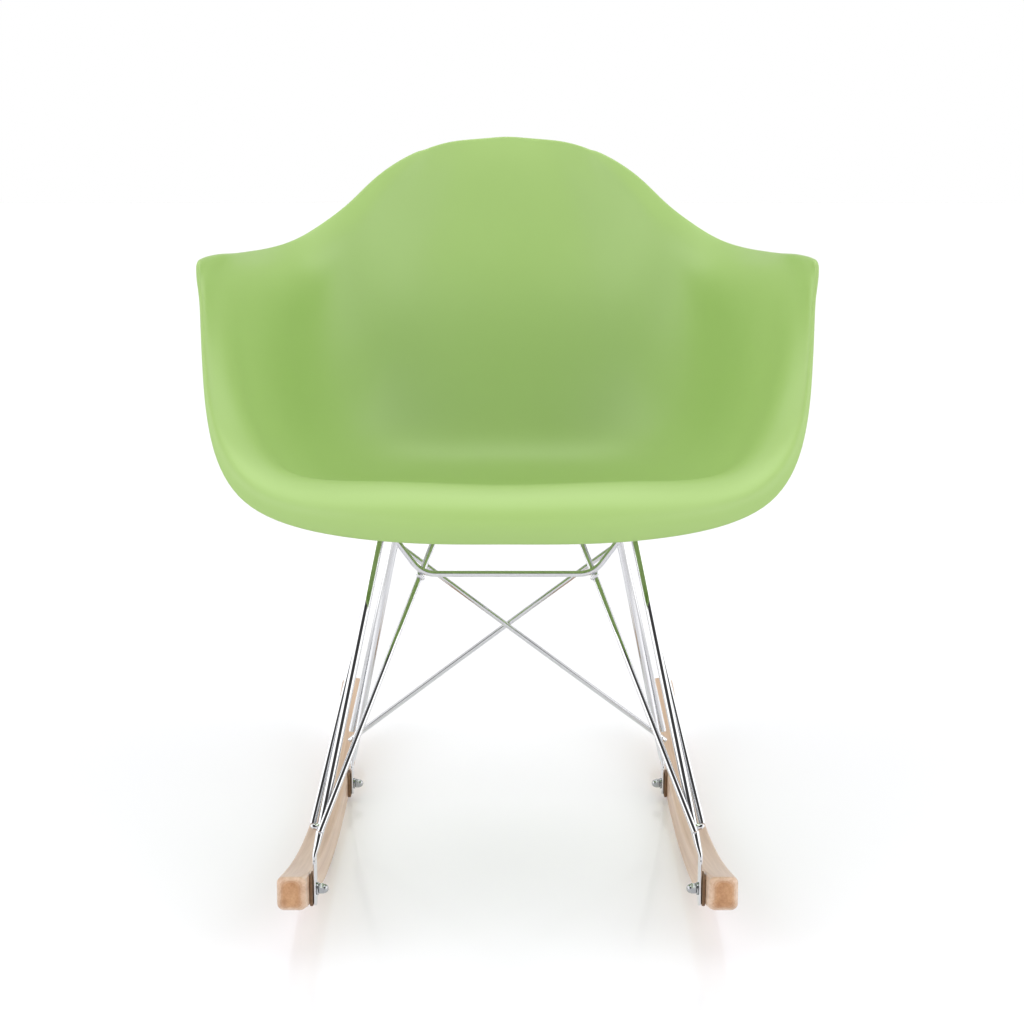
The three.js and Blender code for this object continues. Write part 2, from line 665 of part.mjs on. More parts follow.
const inward = vec(-1, 0, 0);
for (const [place, [y, z]] of Object.entries(BOLTS)) {
  addPair(`tab_pad_${place}`, padGeometry([y, z], 31, 24), 'fibre');

  const tabFace = vec(TAB_X - TAB_THICKNESS / 2, y, z);
  const washer = tube(6.4, BOLT_RADIUS + BOLT_CLEARANCE, GAP, GAP + WASHER_THICKNESS,
    tabFace, inward);
  addPair(`washer_${place}`, mergeVertices(stripped(washer), 1e-4), 'zinc');

  const nutStart = 2 * GAP + WASHER_THICKNESS;
  const hexagon = cylinder(NUT_HEX, nutStart, nutStart + NUT_HEX_HEIGHT, tabFace, inward, 6);
  const dome = turned([
    [0, nutStart + NUT_HEX_HEIGHT - 1],
    [4.6, nutStart + NUT_HEX_HEIGHT - 1],
    [4.6, nutStart + NUT_HEX_HEIGHT + 0.6],
    [4.1, nutStart + NUT_HEIGHT - 2.4],
    [2.6, nutStart + NUT_HEIGHT - 0.7],
    [0, nutStart + NUT_HEIGHT],
  ], tabFace, inward);
  const threadDepth = 6;
  const bore = cylinder(BOLT_RADIUS + BOLT_CLEARANCE, 0, nutStart + threadDepth, tabFace, inward);
  addPair(`dome_nut_${place}`, cut(join(hexagon, dome), bore), 'zinc');

  const shankEnd = tabFace.x - nutStart - threadDepth + 0.8;
  const seatX = ROCKER_INNER_X + ROCKER_THICKNESS - COUNTERBORE_DEPTH + GAP;
  const bolt = turned([
    [0, 0], [BOLT_RADIUS, 0], [BOLT_RADIUS, seatX - shankEnd],
    [6.6, seatX - shankEnd], [6.6, seatX - shankEnd + 1.8],
    [4.8, seatX - shankEnd + 3.4], [0, seatX - shankEnd + 3.6],
  ], vec(shankEnd, y, z), outward);
  addPair(`rocker_bolt_${place}`, mergeVertices(stripped(bolt), 1e-4), 'zinc');
}

function stripped(geometry) {
  const plain = geometry.clone();
  plain.deleteAttribute('normal');
  plain.deleteAttribute('uv');
  return plain;
}

export default chair;
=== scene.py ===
"""Rocking chair with a plastic arm shell, a chromed rod base and wooden rockers.

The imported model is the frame. Every piece is rebuilt here with a finer mesh and a
procedural material. Shapes are worked out in millimetres from the line where the rockers
touch the floor, and make_piece() turns them into metres in the frame's own axes.
"""

import math

import bpy
import numpy as np
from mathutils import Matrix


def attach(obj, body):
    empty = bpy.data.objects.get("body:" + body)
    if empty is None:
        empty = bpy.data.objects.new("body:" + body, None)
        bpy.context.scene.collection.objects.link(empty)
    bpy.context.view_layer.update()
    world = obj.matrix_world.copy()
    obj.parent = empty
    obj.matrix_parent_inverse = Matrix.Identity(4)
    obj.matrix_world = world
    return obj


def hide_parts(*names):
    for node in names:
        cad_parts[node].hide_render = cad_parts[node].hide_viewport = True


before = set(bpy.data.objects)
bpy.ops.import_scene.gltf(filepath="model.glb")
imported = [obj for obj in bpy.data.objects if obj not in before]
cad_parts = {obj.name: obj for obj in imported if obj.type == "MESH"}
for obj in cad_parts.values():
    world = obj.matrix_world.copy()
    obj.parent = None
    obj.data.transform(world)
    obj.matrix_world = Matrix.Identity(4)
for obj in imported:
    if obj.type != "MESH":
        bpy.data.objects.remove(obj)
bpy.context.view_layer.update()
scene = bpy.context.scene

# ------------------------------------------------------------------ driving dimensions, mm
MM = 0.001
GAP = 0.3
SHELL_THICKNESS = 4.5

ROCKER_RADIUS = 1141.0
ROCKER_HEIGHT = 33.0
ROCKER_THICKNESS = 29.0
ROCKER_INNER_X = 195.5
ROCKER_FRONT = 361.0
ROCKER_REAR = 336.0
CONTACT_FLAT = 60.0
ORIGIN_SHIFT = (ROCKER_FRONT - ROCKER_REAR) / 2

LEG_RADIUS = 4.2
STRUT_RADIUS = 3.3
TAB_THICKNESS = 3.0
TAB_WIDTH = 17.0
PAD_THICKNESS = 2.8
TAB_X = ROCKER_INNER_X - GAP - PAD_THICKNESS - GAP - TAB_THICKNESS / 2

BOLT_RADIUS = 3.0
BOLT_HOLE_RADIUS = 3.35
COUNTERBORE_RADIUS = 8.0
COUNTERBORE_DEPTH = 6.0
WASHER_THICKNESS = 1.5

PLATE_RADIUS = 25.0
PLATE_THICKNESS = 2.5
MOUNT_RADIUS = 23.0
MOUNT_THICKNESS = 11.0
SEAT_CLEARANCE = 0.9
PLATE_TOP = SEAT_CLEARANCE + MOUNT_THICKNESS + GAP
PLATE_BOTTOM = PLATE_TOP + PLATE_THICKNESS

FRONT_MOUNT = (118.0, -126.0)
REAR_MOUNT = (106.0, 104.0)
BOLTS = {"front": (-320.0, 63.5), "rear": (90.0, 20.5)}
SIDES = {"right": 1, "left": -1}

# Finish of a rod's ends: how far round each of the rings over the domed end lies.
DOME_ANGLES = np.radians([84, 66, 45, 22])

# Rounding of the rockers and the leg tabs, and the bead of a weld. A rocker's edges are
# rounder near its ends: the gain fades over the reach.
ROCKER_PLAN_CORNER = 9.0
ROCKER_END_CORNER = 7.5
ROCKER_EDGE = 3.6
ROCKER_EDGE_GAIN = 4.4
ROCKER_EDGE_REACH = 22.0
TAB_CORNER = 6.0
WELD_RADIUS = 3.4
WELD_LUMP = 0.12


# ------------------------------------------------------------------ small helpers
def vec(*values):
    return np.array(values, float)


def unit(v):
    return v / np.linalg.norm(v)


def along(a, b, t):
    return a + (b - a) * t


def faces_of_grid(rows, columns, wrap=False):
    """Quads of a rows x columns grid of points; wrap joins the last column to the first."""
    faces = []
    for r in range(rows - 1):
        for c in range(columns if wrap else columns - 1):
            d = (c + 1) % columns
            low, high = r * columns, (r + 1) * columns
            faces.append((low + c, low + d, high + d, high + c))
    return faces


def make_piece(name, points, faces, material, slot, nodes=(), sharp=35.0):
    """A smooth-shaded mesh from millimetre points. It rides on the root body."""
    metres = (np.asarray(points, float) + vec(0, ORIGIN_SHIFT, 0)) * MM
    mesh = bpy.data.meshes.new(name)
    mesh.from_pydata(metres.tolist(), [], [tuple(f) for f in faces])
    mesh.validate()
    mesh.polygons.foreach_set("use_smooth", [True] * len(mesh.polygons))
    mesh.set_sharp_from_angle(angle=math.radians(sharp))
    mesh.materials.append(material)
    piece = bpy.data.objects.new(name, mesh)
    scene.collection.objects.link(piece)
    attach(piece, "root")
    if nodes:
        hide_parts(*nodes)
    return piece


def mirrored(points, faces):
    """The same shape on the other side of the plane X = 0."""
    return np.asarray(points) * vec(-1, 1, 1), [tuple(reversed(f)) for f in faces]


def make_pair(name, points, faces, material, slot, sharp=35.0):
    """The right-hand piece and its mirror image, each in place of its own CAD node."""
    pair = []
    for side, sign in SIDES.items():
        p, f = (points, faces) if sign > 0 else mirrored(points, faces)
        node = f"{name}_{side}"
        pair.append(make_piece(f"{node}_fine", p, f, material, slot, [node], sharp))
    return pair


def frame_across(direction):
    """Two unit vectors square to a direction."""
    seed = vec(0, 0, 1) if abs(direction[2]) < 0.9 else vec(0, 1, 0)
    a = unit(seed - direction * seed.dot(direction))
    return a, np.cross(direction, a)


def skin(rings):
    """Points and faces of a closed body through equal rings, with a fan at each end."""
    rings = np.asarray(rings)
    count, sides = rings.shape[:2]
    points = list(rings.reshape(-1, 3))
    faces = faces_of_grid(count, sides, wrap=True)
    for ring, flip in ((0, True), (count - 1, False)):
        hub = len(points)
        points.append(rings[ring].mean(axis=0))
        for s in range(sides):
            a, b = ring * sides + s, ring * sides + (s + 1) % sides
            faces.append((hub, b, a) if flip else (hub, a, b))
    volume = 0.0
    for f in faces:
        p = [points[i] for i in f]
        for i in range(1, len(p) - 1):
            volume += np.dot(p[0], np.cross(p[i], p[i + 1]))
    # the faces point out when the signed volume is positive
    if volume < 0:
        faces = [tuple(reversed(f)) for f in faces]
    return np.array(points), faces


def ring_at(centre, a, b, sides=28, power=2.0):
    """A ring with half-axes a and b, squared off as power grows above 2."""
    angles = (np.arange(sides) + 0.5) / sides * 2 * math.pi
    c, s = np.cos(angles), np.sin(angles)
    u = np.sign(c) * np.abs(c) ** (2 / power)
    v = np.sign(s) * np.abs(s) ** (2 / power)
    return centre + np.outer(u, a) + np.outer(v, b)


def rod(path, radius, sides=28, dome=0.35):
    """A round rod along a path, with softly domed ends."""
    path = np.asarray(path, float)
    tangents = np.gradient(path, axis=0)
    tangents /= np.linalg.norm(tangents, axis=1, keepdims=True)
    a, _ = frame_across(tangents[0])
    frames = []
    for p, t in zip(path, tangents):
        a = unit(a - t * a.dot(t))
        frames.append((p, t, a, np.cross(t, a)))
    first, last = frames[0], frames[-1]

    def end_ring(end, inward, turn):
        p, t, a, b = end
        r = radius * math.cos(turn)
        sink = inward * radius * dome * (1 - math.sin(turn))
        return ring_at(p + t * sink, a * r, b * r, sides)

    rings = [end_ring(first, 1, turn) for turn in DOME_ANGLES]
    for p, t, a, b in frames[1:-1]:
        rings.append(ring_at(p, a * radius, b * radius, sides))
    if len(frames) == 2:
        start, t, a, b = first
        finish = last[0]
        for centre in (start + t * radius, (start + finish) / 2, finish - t * radius):
            rings.append(ring_at(centre, a * radius, b * radius, sides))
    rings += [end_ring(last, -1, turn) for turn in DOME_ANGLES[::-1]]
    return skin(rings)


def turned(profile, base, direction, segments=40):
    """A turned body: (radius, height) pairs about an axis, closed on the axis."""
    a, b = frame_across(direction)
    rings = []
    for radius, height in profile:
        r = max(radius, 1e-3)
        rings.append(ring_at(base + direction * height, a * r, b * r, segments))
    return skin(rings)


def rounded_profile(corners, radius=0.4, steps=3):
    """Rounds the inner corners of a (radius, height) profile."""
    out = [corners[0]]
    for before, here, after in zip(corners, corners[1:], corners[2:]):
        here = vec(*here)
        p = here + unit(vec(*before) - here) * min(radius, np.linalg.norm(before - here) / 2)
        q = here + unit(vec(*after) - here) * min(radius, np.linalg.norm(after - here) / 2)
        for i in range(steps + 1):
            t = i / steps
            out.append(tuple(p * (1 - t) ** 2 + here * 2 * t * (1 - t) + q * t * t))
    out.append(corners[-1])
    return out


# ------------------------------------------------------------------ materials
def new_material(name):
    material = bpy.data.materials.new(name)
    material.use_nodes = True
    nodes, links = material.node_tree.nodes, material.node_tree.links
    return material, nodes, links, nodes["Principled BSDF"]


def add_node(nodes, kind, **settings):
    node = nodes.new(kind)
    for key, value in settings.items():
        if hasattr(node, key):
            setattr(node, key, value)
        else:
            node.inputs[key].default_value = value
    return node


def ramp_of(nodes, stops):
    """A colour ramp from (position, colour) pairs."""
    ramp = nodes.new("ShaderNodeValToRGB")
    elements = ramp.color_ramp.elements
    while len(elements) < len(stops):
        elements.new(0.5)
    for element, (position, colour) in zip(elements, stops):
        element.position = position
        element.color = (*colour, 1)
    return ramp


def plastic_material():
    material, nodes, links, shader = new_material("shell_plastic")
    place = nodes.new("ShaderNodeTexCoord")
    clouds = add_node(nodes, "ShaderNodeTexNoise", Scale=6.0, Detail=3.0, Roughness=0.5)
    grain = add_node(nodes, "ShaderNodeTexNoise", Scale=900.0, Detail=2.0, Roughness=0.6)
    tint = ramp_of(nodes, [(0.25, PLASTIC_DEEP), (0.75, PLASTIC_PALE)])
    gloss = nodes.new("ShaderNodeMapRange")
    gloss.inputs["To Min"].default_value = PLASTIC_ROUGHNESS[0]
    gloss.inputs["To Max"].default_value = PLASTIC_ROUGHNESS[1]
    bump = add_node(nodes, "ShaderNodeBump", Strength=0.06, Distance=0.0002)
    links.new(place.outputs["Object"], clouds.inputs["Vector"])
    links.new(place.outputs["Object"], grain.inputs["Vector"])
    links.new(clouds.outputs["Fac"], tint.inputs["Fac"])
    links.new(tint.outputs["Color"], shader.inputs["Base Color"])
    links.new(clouds.outputs["Fac"], gloss.inputs["Value"])
    links.new(gloss.outputs["Result"], shader.inputs["Roughness"])
    links.new(grain.outputs["Fac"], bump.inputs["Height"])
    links.new(bump.outputs["Normal"], shader.inputs["Normal"])
    shader.inputs["Specular IOR Level"].default_value = PLASTIC_SPECULAR
    return material


def metal_material(name, colour, roughness, streak):
    """Plated steel: fine polishing variation in roughness and a faint bump."""
    material, nodes, links, shader = new_material(name)
    place = nodes.new("ShaderNodeTexCoord")
    noise = add_node(nodes, "ShaderNodeTexNoise", Scale=140.0, Detail=3.0, Roughness=0.6)
    spread = nodes.new("ShaderNodeMapRange")
    spread.inputs["To Min"].default_value = roughness * (1 - streak)
    spread.inputs["To Max"].default_value = roughness * (1 + streak)
    tint = ramp_of(nodes, [(0.3, [c * 0.97 for c in colour]), (0.7, colour)])
    bump = add_node(nodes, "ShaderNodeBump", Strength=0.03, Distance=0.0001)
    links.new(place.outputs["Object"], noise.inputs["Vector"])
    links.new(noise.outputs["Fac"], spread.inputs["Value"])
    links.new(spread.outputs["Result"], shader.inputs["Roughness"])
    links.new(noise.outputs["Fac"], tint.inputs["Fac"])
    links.new(tint.outputs["Color"], shader.inputs["Base Color"])
    links.new(noise.outputs["Fac"], bump.inputs["Height"])
    links.new(bump.outputs["Normal"], shader.inputs["Normal"])
    shader.inputs["Metallic"].default_value = 1.0
    return material


def dull_material(name, deep, pale, scale, roughness, bump_strength):
    """Rubber or fibre: mottled colour with a fine grain."""
    material, nodes, links, shader = new_material(name)
    place = nodes.new("ShaderNodeTexCoord")
    noise = add_node(nodes, "ShaderNodeTexNoise", Scale=scale, Detail=5.0, Roughness=0.65)
    tint = ramp_of(nodes, [(0.3, deep), (0.7, pale)])
    bump = add_node(nodes, "ShaderNodeBump", Strength=bump_strength, Distance=0.0003)
    links.new(place.outputs["Object"], noise.inputs["Vector"])
    links.new(noise.outputs["Fac"], tint.inputs["Fac"])
    links.new(tint.outputs["Color"], shader.inputs["Base Color"])
    links.new(noise.outputs["Fac"], bump.inputs["Height"])
    links.new(bump.outputs["Normal"], shader.inputs["Normal"])
    shader.inputs["Roughness"].default_value = roughness
    return material


def wood_material():
    """Pale hardwood whose grain follows the bend of the rocker."""
    material, nodes, links, shader = new_material("rocker_wood")

    def math_node(operation, a, b=None):
        node = add_node(nodes, "ShaderNodeMath", operation=operation)
        for i, value in enumerate((a, b)):
            if value is None:
                continue
            if isinstance(value, (int, float)):
                node.inputs[i].default_value = value
            else:
                links.new(value, node.inputs[i])
        return node.outputs[0]

    place = nodes.new("ShaderNodeTexCoord")
    split = nodes.new("ShaderNodeSeparateXYZ")
    links.new(place.outputs["Object"], split.inputs[0])
    x, y, z = split.outputs
    reach = math_node("SUBTRACT", y, ORIGIN_SHIFT * MM)
    drop = math_node("SUBTRACT", ROCKER_RADIUS * MM, z)
    angle = math_node("ARCTAN2", reach, drop)
    length = math_node("MULTIPLY", angle, ROCKER_RADIUS * MM)
    squares = math_node("ADD", math_node("MULTIPLY", reach, reach),
                        math_node("MULTIPLY", drop, drop))
    height = math_node("SUBTRACT", ROCKER_RADIUS * MM, math_node("SQRT", squares))

    def grain_space(stretch):
        join = nodes.new("ShaderNodeCombineXYZ")
        links.new(math_node("MULTIPLY", length, stretch), join.inputs[0])
        links.new(x, join.inputs[1])
        links.new(height, join.inputs[2])
        return join.outputs[0]

    fibres = add_node(nodes, "ShaderNodeTexNoise", Scale=420.0, Detail=4.0, Roughness=0.6)
    links.new(grain_space(0.03), fibres.inputs["Vector"])
    bands = add_node(nodes, "ShaderNodeTexNoise", Scale=70.0, Detail=3.0, Roughness=0.55,
                     Distortion=0.4)
    links.new(grain_space(0.05), bands.inputs["Vector"])
    pores = add_node(nodes, "ShaderNodeTexNoise", Scale=900.0, Detail=2.0, Roughness=0.5)
    links.new(grain_space(0.08), pores.inputs["Vector"])

    tint = ramp_of(nodes, [(0.30, WOOD_DEEP), (0.52, WOOD_MIDDLE), (0.74, WOOD_PALE)])
    links.new(bands.outputs["Fac"], tint.inputs["Fac"])
    streak = ramp_of(nodes, [(0.38, (0.80, 0.74, 0.68)), (0.60, (1, 1, 1))])
    links.new(fibres.outputs["Fac"], streak.inputs["Fac"])
    body = add_node(nodes, "ShaderNodeMixRGB", blend_type="MULTIPLY", Fac=0.6)
    links.new(tint.outputs["Color"], body.inputs["Color1"])
    links.new(streak.outputs["Color"], body.inputs["Color2"])

    normal = nodes.new("ShaderNodeNewGeometry")
    facing = nodes.new("ShaderNodeSeparateXYZ")
    links.new(normal.outputs["True Normal"], facing.inputs[0])
    across_end = math_node("ABSOLUTE", facing.outputs[1])
    end_mask = nodes.new("ShaderNodeMapRange")
    end_mask.inputs["From Min"].default_value = 0.80
    end_mask.inputs["From Max"].default_value = 0.97
    links.new(across_end, end_mask.inputs["Value"])
    end_tint = add_node(nodes, "ShaderNodeMixRGB", blend_type="MULTIPLY")
    end_tint.inputs["Color2"].default_value = (*WOOD_END_GRAIN, 1)
    links.new(end_mask.outputs["Result"], end_tint.inputs["Fac"])
    links.new(body.outputs["Color"], end_tint.inputs["Color1"])
    links.new(end_tint.outputs["Color"], shader.inputs["Base Color"])

    gloss = nodes.new("ShaderNodeMapRange")
    gloss.inputs["To Min"].default_value = WOOD_ROUGHNESS[0]
    gloss.inputs["To Max"].default_value = WOOD_ROUGHNESS[1]
    links.new(fibres.outputs["Fac"], gloss.inputs["Value"])
    links.new(gloss.outputs["Result"], shader.inputs["Roughness"])
    relief = add_node(nodes, "ShaderNodeMixRGB", blend_type="ADD", Fac=0.5)
    links.new(fibres.outputs["Fac"], relief.inputs["Color1"])
    links.new(pores.outputs["Fac"], relief.inputs["Color2"])
    bump = add_node(nodes, "ShaderNodeBump", Strength=0.10, Distance=0.0003)
    links.new(relief.outputs["Color"], bump.inputs["Height"])
    links.new(bump.outputs["Normal"], shader.inputs["Normal"])
    shader.inputs["Coat Weight"].default_value = 0.35
    shader.inputs["Coat Roughness"].default_value = 0.22
    return material


PLASTIC_DEEP = (0.330, 0.500, 0.145)
PLASTIC_PALE = (0.345, 0.515, 0.158)
PLASTIC_ROUGHNESS = (0.40, 0.47)
PLASTIC_SPECULAR = 0.60
WOOD_DEEP = (0.500, 0.318, 0.205)
WOOD_MIDDLE = (0.610, 0.425, 0.300)
WOOD_PALE = (0.690, 0.515, 0.390)
WOOD_END_GRAIN = (0.80, 0.62, 0.42)
WOOD_ROUGHNESS = (0.34, 0.48)
CHROME_TINT = (0.66, 0.665, 0.68)
ZINC_TINT = (0.40, 0.41, 0.42)
RUBBER_DEEP, RUBBER_PALE = (0.010, 0.010, 0.010), (0.022, 0.022, 0.022)
FIBRE_DEEP, FIBRE_PALE = (0.120, 0.060, 0.028), (0.210, 0.120, 0.060)

PLASTIC = plastic_material()
CHROME = metal_material("base_chrome", CHROME_TINT, roughness=0.06, streak=0.3)
ZINC = metal_material("fastener_zinc", ZINC_TINT, roughness=0.18, streak=0.3)
RUBBER = dull_material("mount_rubber", RUBBER_DEEP, RUBBER_PALE, scale=300.0,
                       roughness=0.75, bump_strength=0.2)
FIBRE = dull_material("pad_fibre", FIBRE_DEEP, FIBRE_PALE, scale=260.0,
                      roughness=0.70, bump_strength=0.3)
WOOD = wood_material()

# ------------------------------------------------------------------ arm shell
# The same net as the CAD solid: lateral sections of the right half, from the centre plane
# out to the side rim, running from the front rim to the top rim.
SECTIONS = [
    # front rim: lip, corner, front edge of the arm, arm tip
    [(0, -284, 404), (152, -272, 408), (264, -228, 436), (306, -180, 507.5),
     (314, -153, 596), (315, -145, 652), (315, -142, 670)],
    # face of the rolled edge
    [(0, -290, 428), (148, -277, 431), (252, -234, 450), (299, -184, 512),
     (309, -152, 598), (311, -137, 652), (312, -120, 673)],
    # crest of the roll
    [(0, -264, 453), (138, -251, 455), (238, -211, 463), (285, -164, 518),
     (301, -132, 605), (306, -109, 655), (306, -90, 674)],
    # front of the seat pan
    [(0, -188, 437), (124, -180, 438), (219, -153, 448), (268, -112, 507),
     (289, -84, 603), (295, -60, 655), (298, -36, 673)],
    # middle of the seat pan
    [(0, -62, 411), (112, -59, 412), (201, -50, 426), (249, -32, 490),
     (267, -9, 596), (275, 14, 650), (287, 32, 673)],
    # lowest part of the seat
    [(0, 58, 399), (106, 57, 402), (184, 54, 422), (228, 56, 484),
     (246, 68, 590), (254, 80, 648), (271, 92, 675)],
    # turn from the seat to the back
    [(0, 150, 423), (97, 144, 428), (166, 128, 452), (208, 116, 510),
     (227, 118, 604), (234, 126, 657), (247, 138, 683)],
    # lower back
    [(0, 190, 500), (82, 184, 503), (144, 169, 516), (182, 153, 560),
     (203, 151, 636), (211, 157, 679), (219, 168, 700)],
    # middle of the back
    [(0, 204, 610), (62, 200, 609), (114, 190, 608), (151, 177, 626),
     (173, 174, 679), (181, 181, 709), (186, 190, 726)],
    # upper back
    [(0, 227, 716), (45, 225, 714), (84, 220, 709), (113, 211, 712),
     (138, 204, 731), (147, 205, 746), (152, 210, 757)],
    # start of the rolled top
    [(0, 243, 773), (34, 242, 772), (62, 239, 769), (85, 233, 765),
     (107, 226, 764), (119, 222, 769), (125, 223, 774)],
    # top rim
    [(0, 256, 801), (29, 255, 799), (52, 252, 797), (72, 247, 794),
     (92, 240, 788), (102, 236, 784), (108, 233, 782)],
]
ACROSS_HALF = [0, 145, 245, 335, 425, 478, 505]
ACROSS = [-d for d in ACROSS_HALF[:0:-1]] + ACROSS_HALF
LENGTHWISE = [0, 24, 58, 135, 255, 368, 460, 545, 645, 742, 795, 825]
NET = np.array([
    [(-x, y, z) for x, y, z in row[:0:-1]] + list(row) for row in SECTIONS], float)


def spline_weights(knots, places):
    """Rows of weights that turn knot values into natural cubic spline values."""
    k = np.asarray(knots, float)
    n, h = len(k), np.diff(k)
    left, right = np.zeros((n, n)), np.zeros((n, n))
    left[0, 0] = left[-1, -1] = 1
    for i in range(1, n - 1):
        left[i, i - 1:i + 2] = h[i - 1], 2 * (h[i - 1] + h[i]), h[i]
        right[i, i - 1:i + 2] = 6 / h[i - 1], -6 / h[i - 1] - 6 / h[i], 6 / h[i]
    bend = np.linalg.solve(left, right)
    places = np.atleast_1d(np.asarray(places, float))
    cell = np.clip(np.searchsorted(k, places) - 1, 0, n - 2)
    a = (k[cell + 1] - places) / h[cell]
    b = 1 - a
    weights = np.zeros((len(places), n))
    rows = np.arange(len(places))
    weights[rows, cell] += a
    weights[rows, cell + 1] += b
    weights += ((a ** 3 - a)[:, None] * bend[cell] + (b ** 3 - b)[:, None] * bend[cell + 1]) \
        * (h[cell] ** 2 / 6)[:, None]
    return weights


def seat_points(across, lengthwise):
    """Points of the shell's upper face at matching lists of surface parameters."""
    wa = spline_weights(ACROSS, across)
    wl = spline_weights(LENGTHWISE, lengthwise)
    return np.einsum("ir,rcx,ic->ix", wl, NET, wa)


def underside_normals(across, lengthwise, step=0.4):
    du = seat_points(across + step, lengthwise) - seat_points(across - step, lengthwise)
    dv = seat_points(across, lengthwise + step) - seat_points(across, lengthwise - step)
    n = np.cross(dv, du)
    return n / np.linalg.norm(n, axis=1, keepdims=True)


def shell_parameters(columns, rows, corner):
    """A grid over the surface, crowded towards the rims, with its four corners rounded."""
    half, end = ACROSS_HALF[-1], LENGTHWISE[-1]
    edge = SHELL_THICKNESS / 2

    def spread(count, low, high, pull):
        t = np.linspace(-1, 1, count)
        t = t * (1 - pull) + np.sin(t * math.pi / 2) * pull
        return low + (high - low) * (t + 1) / 2

    u, v = np.meshgrid(spread(columns, -half + edge, half - edge, 0.35),
                       spread(rows, edge, end - edge, 0.45))
    for sign in (-1, 1):
        for v_rim, v_sign in ((edge, 1), (end - edge, -1)):
            a = (u * sign - (half - edge - corner)) / corner
            b = 1 - (v - v_rim) * v_sign / corner
            inside = (a > 0) & (b > 0)
            a, b = np.clip(a, 0, 1), np.clip(b, 0, 1)
            new_a = a * np.sqrt(1 - b * b / 2)
            new_b = b * np.sqrt(1 - a * a / 2)
            u = np.where(inside, sign * (half - edge - corner + corner * new_a), u)
            v = np.where(inside, v_rim + v_sign * corner * (1 - new_b), v)
    return u, v


def arm_shell():
    columns, rows = 129, 181
    u, v = shell_parameters(columns, rows, corner=9.0)
    upper = seat_points(u.ravel(), v.ravel())
    down = underside_normals(u.ravel(), v.ravel())
    lower = upper + down * SHELL_THICKNESS
    points = [upper, lower]
    faces = faces_of_grid(rows, columns)
    count = len(upper)
    faces += [tuple(i + count for i in reversed(f)) for f in faces]
    # the rim goes once round the grid, and is closed by a half-round edge
    grid = np.arange(count).reshape(rows, columns)
    loop = np.concatenate([grid[0, :-1], grid[:-1, -1], grid[-1, :0:-1], grid[:0:-1, 0]])
    ring = upper[loop]
    tangent = np.roll(ring, -1, axis=0) - np.roll(ring, 1, axis=0)
    tangent /= np.linalg.norm(tangent, axis=1, keepdims=True)
    outward = np.cross(tangent, down[loop])
    inner = upper[np.concatenate([grid[1, :-1], grid[:-1, -2], grid[-2, :0:-1], grid[:0:-1, 1]])]
    flip = np.sign(((ring - inner) * outward).sum(axis=1))
    outward *= flip[:, None]
    outward /= np.linalg.norm(outward, axis=1, keepdims=True)
    steps = 6
    half = SHELL_THICKNESS / 2
    middle = ring + down[loop] * half
    rails = [loop]
    start = 2 * count
    for i in range(1, steps):
        turn = math.pi * i / steps
        bulge = outward * math.sin(turn) - down[loop] * math.cos(turn)
        points.append(middle + bulge * half)
        rails.append(np.arange(start, start + len(loop)))
        start += len(loop)
    rails.append(loop + count)
    for a, b in zip(rails, rails[1:]):
        for i in range(len(loop)):
            j = (i + 1) % len(loop)
            faces.append((a[j], a[i], b[i], b[j]))
    return np.concatenate(points), faces


shell_points, shell_faces = arm_shell()
make_piece("arm_shell_fine", shell_points, shell_faces, PLASTIC, "shell_plastic",
           ["arm_shell"], sharp=80.0)


# ------------------------------------------------------------------ mounts under the seat
def shell_above(x, y):
    """Lower face of the shell and its normal above a floor position, by Newton steps."""
    across, lengthwise = x * 1.15, y + 310
    for _ in range(12):
        p = seat_points([across], [lengthwise])[0]
        du = seat_points([across + 1], [lengthwise])[0] - p
        dv = seat_points([across], [lengthwise + 1])[0] - p
        ex, ey = x - p[0], y - p[1]
        det = du[0] * dv[1] - du[1] * dv[0]
        across += (ex * dv[1] - ey * dv[0]) / det
        lengthwise += (du[0] * ey - du[1] * ex) / det
    down = underside_normals(np.array([across]), np.array([lengthwise]))[0]
    return seat_points([across], [lengthwise])[0] + down * SHELL_THICKNESS, down


MOUNTS = {"front": shell_above(*FRONT_MOUNT), "rear": shell_above(*REAR_MOUNT)}


def under_plate(place, x, y, drop):
    """Height of a plane parallel to a mounting plate, drop millimetres under it."""
    face, n = MOUNTS[place]
    o = face + n * (PLATE_BOTTOM + drop)
    return o[2] - (n[0] * (x - o[0]) + n[1] * (y - o[1])) / n[2]


for place, (face, down) in MOUNTS.items():
    puck = rounded_profile([
        (0, SEAT_CLEARANCE), (MOUNT_RADIUS, SEAT_CLEARANCE),
        (MOUNT_RADIUS, SEAT_CLEARANCE + 2), (MOUNT_RADIUS - 4, SEAT_CLEARANCE + 5),
        (MOUNT_RADIUS - 4, PLATE_TOP - GAP), (0, PLATE_TOP - GAP)], 0.8)
    make_pair(f"shock_mount_{place}", *turned(puck, face, down), RUBBER, "mount_rubber")
    plate = rounded_profile([
        (0, PLATE_TOP), (PLATE_RADIUS, PLATE_TOP), (PLATE_RADIUS, PLATE_BOTTOM),
        (0, PLATE_BOTTOM)], 0.6)
    make_pair(f"mount_plate_{place}", *turned(plate, face, down, 56), CHROME, "base_chrome")
    head = PLATE_BOTTOM + 0.05
    screw = rounded_profile([
        (0, head), (6, head), (6, head + 2), (4.5, head + 3.6),
        (2.2, head + 3.6), (2.0, head + 1.6), (0, head + 1.6)], 0.3)
    make_pair(f"mount_screw_{place}", *turned(screw, face, down), ZINC, "fastener_zinc")

